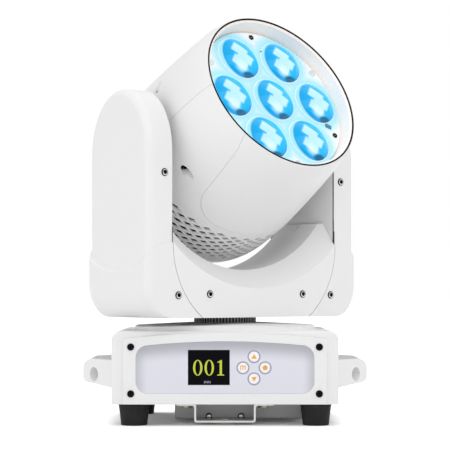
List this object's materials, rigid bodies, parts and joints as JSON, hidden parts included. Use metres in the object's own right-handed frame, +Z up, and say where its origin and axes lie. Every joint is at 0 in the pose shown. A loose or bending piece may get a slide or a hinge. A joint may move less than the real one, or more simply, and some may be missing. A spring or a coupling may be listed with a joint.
{
  "type": "moving head light",
  "caption": "Moving head wash light: panning yoke on a square base with a display, tilting barrel head with zooming lenses.",
  "frame": {"origin": "on the pan axis, midway between the two hanging-bolt holes, on the outer faces of their brackets; the feet reach 2.5 mm lower", "axes": "+Z up along the pan axis, -Y out of the front panel, +X to the right seen from the front"},
  "size_m": [0.283, 0.2549, 0.4017],
  "materials": {
    "white_shell": "fine satin white moulding",
    "overlay_film": "printed polyester film, pale lilac grey",
    "display_glass": "black glossy window",
    "circuit_board": "green solder mask",
    "black_plastic": "black moulding",
    "button_cap": "pale glossy cap",
    "rubber": "black rubber",
    "zinc_steel": "zinc-plated sheet",
    "dark_steel": "blackened steel",
    "grey_sheet": "grey sheet metal",
    "aluminium": "plain aluminium",
    "steel": "turned steel",
    "clear_lens": "clear lens lit sky blue",
    "clear_guide": "clear acrylic",
    "lens_plate": "pale glossy plate lit by the lenses"
  },
  "bodies": {
    "base": {"base_shell": "white_shell", "base_plate": "zinc_steel", "front_panel": "white_shell", "control_overlay": "overlay_film", "display_module": "display_glass", "control_board": "circuit_board", "panel_screws": "dark_steel", "rear_panel": "grey_sheet", "rear_sockets": "black_plastic", "carry_handles": "white_shell", "rubber_feet": "rubber", "omega_brackets": "zinc_steel", "underside_cover": "grey_sheet", "power_supply": "aluminium", "pan_post": "aluminium", "pan_collar": "black_plastic", "pan_pulley": "aluminium"},
    "button_up_body": {"button_up": "button_cap"},
    "button_down_body": {"button_down": "button_cap"},
    "button_menu_body": {"button_menu": "button_cap"},
    "button_enter_body": {"button_enter": "button_cap"},
    "lock_front_left_body": {"lock_front_left": "steel"},
    "lock_front_right_body": {"lock_front_right": "steel"},
    "lock_rear_left_body": {"lock_rear_left": "steel"},
    "lock_rear_right_body": {"lock_rear_right": "steel"},
    "yoke": {"yoke_plate": "zinc_steel", "arm_plates": "zinc_steel", "pan_bearing": "steel", "tilt_bearings": "steel", "arm_cover_left": "white_shell", "arm_cover_right": "white_shell", "arm_liners": "white_shell", "saddle_cover": "white_shell", "yoke_screws": "dark_steel", "pan_motor": "dark_steel", "pan_belt": "rubber", "tilt_motor": "dark_steel", "tilt_belt": "rubber"},
    "pan_drive": {"pan_pinion": "aluminium"},
    "tilt_drive": {"tilt_pinion": "aluminium"},
    "head": {"head_frame": "aluminium", "head_cover_top": "white_shell", "head_cover_bottom": "white_shell", "tongue_cover": "white_shell", "front_rim": "white_shell", "trim_ring": "black_plastic", "tilt_shafts": "aluminium", "tilt_pulley": "aluminium", "led_board": "circuit_board", "light_pipes": "clear_guide", "heatsink": "aluminium", "fan_frame": "black_plastic", "guide_rods": "steel", "zoom_motor": "dark_steel"},
    "fan": {"fan_rotor": "black_plastic"},
    "screw": {"zoom_screw": "steel"},
    "lens_carriage": {"lens_carrier": "lens_plate", "lenses": "clear_lens", "lens_screws": "steel"}
  },
  "joints": [
    {"name": "pan", "type": "hinge", "parent": "base", "child": "yoke", "pos_m": [0, 0, 0.102], "axis": [0, 0, 1], "range_deg": [-308, 232]},
    {"name": "tilt", "type": "hinge", "parent": "yoke", "child": "head", "pos_m": [0, 0, 0.27383], "axis": [0.788, 0.6157, 0], "range_deg": [-171.5, 48.5]},
    {"name": "pan_motor_turn", "type": "hinge", "parent": "yoke", "child": "pan_drive", "pos_m": [-0.05674, -0.04433, 0.14], "axis": [0, 0, 1], "range_deg": [-936, 1240]},
    {"name": "tilt_motor_turn", "type": "hinge", "parent": "yoke", "child": "tilt_drive", "pos_m": [0, 0, 0.131], "axis": [0.788, 0.6157, 0], "range_deg": [-692, 200]},
    {"name": "zoom", "type": "slide", "parent": "head", "child": "lens_carriage", "axis": [0.5411, -0.6925, 0.4772], "range_m": [-0.03, 0.004]},
    {"name": "zoom_screw_turn", "type": "hinge", "parent": "head", "child": "screw", "pos_m": [0.04353, -0.05571, 0.22744], "axis": [0.5411, -0.6925, 0.4772], "range_deg": [-1360, 190]},
    {"name": "fan_turn", "type": "hinge", "parent": "head", "child": "fan", "pos_m": [-0.04437, 0.05679, 0.2347], "axis": [0.5411, -0.6925, 0.4772], "continuous": true},
    {"name": "press_up", "type": "slide", "parent": "base", "child": "button_up_body", "axis": [0, 1, 0], "range_m": [0, 0.0008], "stiffness_N_per_m": 300, "springref_m": -0.001},
    {"name": "press_down", "type": "slide", "parent": "base", "child": "button_down_body", "axis": [0, 1, 0], "range_m": [0, 0.0008], "stiffness_N_per_m": 300, "springref_m": -0.001},
    {"name": "press_menu", "type": "slide", "parent": "base", "child": "button_menu_body", "axis": [0, 1, 0], "range_m": [0, 0.0008], "stiffness_N_per_m": 300, "springref_m": -0.001},
    {"name": "press_enter", "type": "slide", "parent": "base", "child": "button_enter_body", "axis": [0, 1, 0], "range_m": [0, 0.0008], "stiffness_N_per_m": 300, "springref_m": -0.001},
    {"name": "turn_lock_front_left", "type": "hinge", "parent": "base", "child": "lock_front_left_body", "pos_m": [-0.038, -0.062, 0.0185], "axis": [0, 0, 1], "range_deg": [0, 90]},
    {"name": "turn_lock_front_right", "type": "hinge", "parent": "base", "child": "lock_front_right_body", "pos_m": [0.038, -0.062, 0.0185], "axis": [0, 0, 1], "range_deg": [0, 90]},
    {"name": "turn_lock_rear_left", "type": "hinge", "parent": "base", "child": "lock_rear_left_body", "pos_m": [-0.038, 0.062, 0.0185], "axis": [0, 0, 1], "range_deg": [0, 90]},
    {"name": "turn_lock_rear_right", "type": "hinge", "parent": "base", "child": "lock_rear_right_body", "pos_m": [0.038, 0.062, 0.0185], "axis": [0, 0, 1], "range_deg": [0, 90]}
  ],
  "couplings": [
    {"joint": "pan_motor_turn", "follows": "pan", "ratio": -4},
    {"joint": "tilt_motor_turn", "follows": "tilt", "ratio": 4},
    {"joint": "zoom_screw_turn", "follows": "zoom", "rad_per_m": 785.4}
  ]
}
